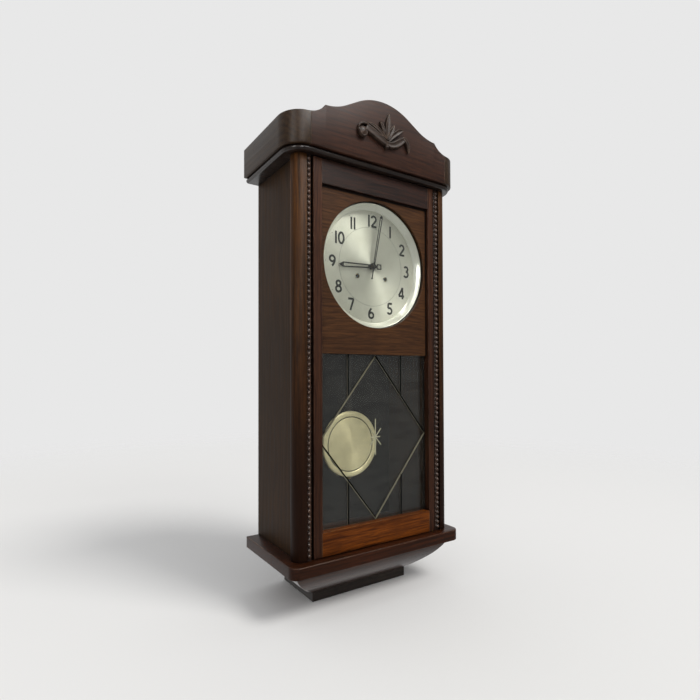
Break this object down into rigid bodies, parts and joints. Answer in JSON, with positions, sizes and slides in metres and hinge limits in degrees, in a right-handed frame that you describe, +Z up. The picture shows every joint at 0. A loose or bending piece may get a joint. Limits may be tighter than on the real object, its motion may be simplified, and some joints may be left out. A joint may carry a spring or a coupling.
{
  "type": "wall regulator clock",
  "caption": "Wall clock in a dark oak case with an arched hood, beaded corner posts, a glazed door over dial and pendulum, and a striking spring-driven movement.",
  "frame": {"origin": "centre of the hanging hole in the steel hanger plate, on the plane of the wall", "axes": "+X to the right as the clock is seen from the front, +Y back into the wall, +Z up; the door and dial face -Y"},
  "size_m": [0.33, 0.1626, 0.7608],
  "materials": {
    "oak_case": "dark brown stained and varnished oak, satin, worn lighter along the edges",
    "oak_hood": "dark brown stained oak, satin",
    "oak_panel": "reddish brown stained oak, flat board",
    "oak_rail": "orange brown stained oak with visible figure",
    "oak_inner": "dark unpolished oak inside the case",
    "bead_wood": "dark stained turned beads, satin",
    "rod_wood": "pale varnished wood",
    "cut_glass": "clear plate glass with V cuts",
    "dial_glass": "clear thin glass",
    "dial_silver": "silvered and lacquered dial with black numerals",
    "nickel": "nickelled, softly polished",
    "hand_black": "blackened steel",
    "clock_brass": "polished and lacquered",
    "bob_brass": "pale silvered brass, spun",
    "clock_steel": "plain steel",
    "spring_steel": "hardened spring steel",
    "gong_steel": "browned steel wire",
    "black_iron": "black painted iron"
  },
  "bodies": {
    "case": {"back_board": "oak_inner", "case_sides": "oak_case", "corner_post_left": "oak_case", "corner_post_right": "oak_case", "bead_strips": "bead_wood", "case_top_board": "oak_hood", "hood_front_board": "oak_hood", "hood_sides": "oak_hood", "hood_ornament": "oak_hood", "base_board": "oak_case", "console_front": "oak_case", "console_sides": "oak_case", "console_foot": "oak_hood", "hanger_plate": "clock_steel", "hanger_screws": "clock_steel", "dial_plate": "dial_silver", "dial_ring": "nickel", "front_plate": "clock_brass", "back_plate": "clock_brass", "plate_pillars": "clock_brass", "mainsprings": "spring_steel", "back_cock": "clock_brass", "gong_coil": "gong_steel", "gong_stand": "black_iron", "movement_brackets": "black_iron"},
    "door": {"door_stile_left": "oak_case", "door_stile_right": "oak_case", "door_top_rail": "oak_case", "door_bottom_rail": "oak_rail", "door_dial_panel": "oak_panel", "door_dial_glass": "dial_glass", "door_glass": "cut_glass", "door_glazing_strips": "oak_inner", "door_hinge_pins": "clock_brass", "door_catch_shell": "clock_brass"},
    "catch": {"door_catch_ball": "clock_steel"},
    "minute": {"minute_hand": "hand_black", "hand_nut": "clock_brass", "centre_arbor": "clock_steel"},
    "motion": {"minute_wheel": "clock_brass"},
    "hour": {"hour_hand": "hand_black", "hour_wheel": "clock_brass"},
    "time_great": {"time_great_wheel": "clock_brass"},
    "time_click": {"time_click": "clock_steel"},
    "time_winding": {"time_winding_arbor": "clock_steel"},
    "time_second": {"time_second_arbor": "clock_brass"},
    "third": {"third_arbor": "clock_brass"},
    "escape": {"escape_arbor": "clock_brass"},
    "anchor": {"anchor": "clock_steel"},
    "pendulum": {"suspension_spring": "spring_steel", "pendulum_rod": "rod_wood", "pendulum_bob": "bob_brass"},
    "rating_nut": {"rating_nut": "clock_brass"},
    "strike_great": {"strike_great_wheel": "clock_brass"},
    "strike_click": {"strike_click": "clock_steel"},
    "strike_winding": {"strike_winding_arbor": "clock_steel"},
    "strike_pin": {"strike_pin_arbor": "clock_brass"},
    "strike_lock": {"strike_lock_arbor": "clock_brass"},
    "strike_fly": {"strike_fly": "clock_brass"},
    "hammer": {"hammer": "clock_steel"}
  },
  "joints": [
    {"name": "door_hinge", "type": "hinge", "parent": "case", "child": "door", "pos_m": [0.11425, -0.137, -0.3], "axis": [0, 0, 1], "range_deg": [0, 105]},
    {"name": "catch_ball", "type": "slide", "parent": "door", "child": "catch", "axis": [1, 0, 0], "range_m": [0, 0.0015], "stiffness_N_per_m": 400, "springref_m": -0.003},
    {"name": "minute_hand_turn", "type": "hinge", "parent": "case", "child": "minute", "pos_m": [0, -0.09, -0.16], "axis": [0, 1, 0], "continuous": true},
    {"name": "motion_turn", "type": "hinge", "parent": "case", "child": "motion", "pos_m": [0, -0.112, -0.175], "axis": [0, 1, 0], "continuous": true},
    {"name": "hour_hand_turn", "type": "hinge", "parent": "case", "child": "hour", "pos_m": [0, -0.118, -0.16], "axis": [0, 1, 0], "continuous": true},
    {"name": "time_great_turn", "type": "hinge", "parent": "case", "child": "time_great", "pos_m": [0.0275, -0.072, -0.177], "axis": [0, 1, 0], "continuous": true},
    {"name": "time_click_lift", "type": "hinge", "parent": "time_great", "child": "time_click", "pos_m": [0.03899, -0.0755, -0.16736], "axis": [0, 1, 0], "range_deg": [0, 12], "stiffness_Nm_per_rad": 0.005, "springref_deg": -5.73},
    {"name": "time_winding_turn", "type": "hinge", "parent": "time_great", "child": "time_winding", "pos_m": [0.0275, -0.09, -0.177], "axis": [0, 1, 0], "continuous": true},
    {"name": "time_second_turn", "type": "hinge", "parent": "case", "child": "time_second", "pos_m": [0.00339, -0.09, -0.18133], "axis": [0, 1, 0], "continuous": true},
    {"name": "third_turn", "type": "hinge", "parent": "case", "child": "third", "pos_m": [0.01883, -0.09, -0.15388], "axis": [0, 1, 0], "continuous": true},
    {"name": "escape_turn", "type": "hinge", "parent": "case", "child": "escape", "pos_m": [0.01758, -0.09, -0.13592], "axis": [0, 1, 0], "continuous": true},
    {"name": "pendulum_swing", "type": "hinge", "parent": "case", "child": "pendulum", "pos_m": [0, -0.0565, -0.12585], "axis": [0, 1, 0], "range_deg": [-4, 4]},
    {"name": "anchor_rock", "type": "hinge", "parent": "case", "child": "anchor", "pos_m": [0, -0.09, -0.12585], "axis": [0, 1, 0], "range_deg": [-4, 4]},
    {"name": "rating_nut_turn", "type": "hinge", "parent": "pendulum", "child": "rating_nut", "pos_m": [0, -0.0565, -0.50355], "axis": [0, 0, 1], "continuous": true},
    {"name": "strike_pin_turn", "type": "hinge", "parent": "case", "child": "strike_pin", "pos_m": [-0.03175, -0.09, -0.15287], "axis": [0, 1, 0], "continuous": true},
    {"name": "strike_great_turn", "type": "hinge", "parent": "case", "child": "strike_great", "pos_m": [-0.0275, -0.072, -0.177], "axis": [0, 1, 0], "continuous": true},
    {"name": "strike_click_lift", "type": "hinge", "parent": "strike_great", "child": "strike_click", "pos_m": [-0.01601, -0.0755, -0.16736], "axis": [0, 1, 0], "range_deg": [0, 12], "stiffness_Nm_per_rad": 0.005, "springref_deg": -5.73},
    {"name": "strike_winding_turn", "type": "hinge", "parent": "strike_great", "child": "strike_winding", "pos_m": [-0.0275, -0.09, -0.177], "axis": [0, 1, 0], "continuous": true},
    {"name": "strike_lock_turn", "type": "hinge", "parent": "case", "child": "strike_lock", "pos_m": [-0.02095, -0.09, -0.13417], "axis": [0, 1, 0], "continuous": true},
    {"name": "strike_fly_turn", "type": "hinge", "parent": "case", "child": "strike_fly", "pos_m": [-0.03343, -0.09, -0.12697], "axis": [0, 1, 0], "continuous": true},
    {"name": "hammer_lift", "type": "hinge", "parent": "case", "child": "hammer", "pos_m": [-0.055, -0.06, -0.156], "axis": [0, 1, 0], "range_deg": [0, 14]}
  ],
  "couplings": [
    {"joint": "motion_turn", "follows": "minute_hand_turn", "ratio": -0.33333},
    {"joint": "hour_hand_turn", "follows": "minute_hand_turn", "ratio": 0.083333},
    {"joint": "time_second_turn", "follows": "minute_hand_turn", "ratio": -0.125},
    {"joint": "time_great_turn", "follows": "minute_hand_turn", "ratio": 0.020833},
    {"joint": "third_turn", "follows": "minute_hand_turn", "ratio": -10},
    {"joint": "escape_turn", "follows": "minute_hand_turn", "ratio": 90},
    {"joint": "strike_great_turn", "follows": "strike_pin_turn", "ratio": -0.16667},
    {"joint": "strike_lock_turn", "follows": "strike_pin_turn", "ratio": -8},
    {"joint": "strike_fly_turn", "follows": "strike_pin_turn", "ratio": 56},
    {"joint": "anchor_rock", "follows": "pendulum_swing", "ratio": 1}
  ]
}
